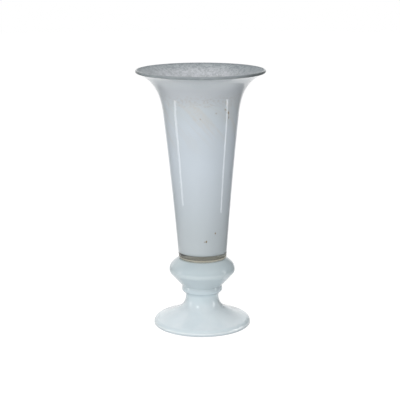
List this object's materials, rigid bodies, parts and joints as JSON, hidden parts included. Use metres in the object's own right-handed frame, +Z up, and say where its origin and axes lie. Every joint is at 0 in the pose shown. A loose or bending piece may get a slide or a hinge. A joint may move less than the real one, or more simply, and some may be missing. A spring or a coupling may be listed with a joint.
{
  "type": "trumpet vase",
  "caption": "Tall trumpet-shaped vase of cased glass with a flared mouth, bonded to an opal glass pedestal of knop, collar, stem and domed foot; holds cut flowers.",
  "frame": {"origin": "centre of the foot, on the plane of the ground ring that the vase stands on", "axes": "+Z up along the axis that every piece is turned about; X and Y are equal, with -Y towards the viewer of the picture"},
  "size_m": [0.1982, 0.1982, 0.4],
  "materials": {
    "pedestal_opal": "glossy fire-polished opal glass, pale aqua white",
    "cured_bond": "clear cured glass bond, under a third of a millimetre thick",
    "clear_glass": "clear glass with a faint grey-olive cast, fire-polished",
    "trumpet_opal": "cloudy grey-blue opal glass with faint slanting streaks, glossy under the clear casing",
    "frit_skin": "granular skin of fused crushed glass, mottled grey",
    "lip_glass": "grey-green clear glass, rounded in the flame"
  },
  "bodies": {
    "root": {"foot": "pedestal_opal", "stem": "pedestal_opal", "collar": "pedestal_opal", "knop": "pedestal_opal", "bond_film": "cured_bond", "clear_base_disc": "clear_glass", "clear_casing": "clear_glass", "opal_lining": "trumpet_opal", "frit_lining": "frit_skin", "lip_wrap": "lip_glass"}
  },
  "joints": []
}
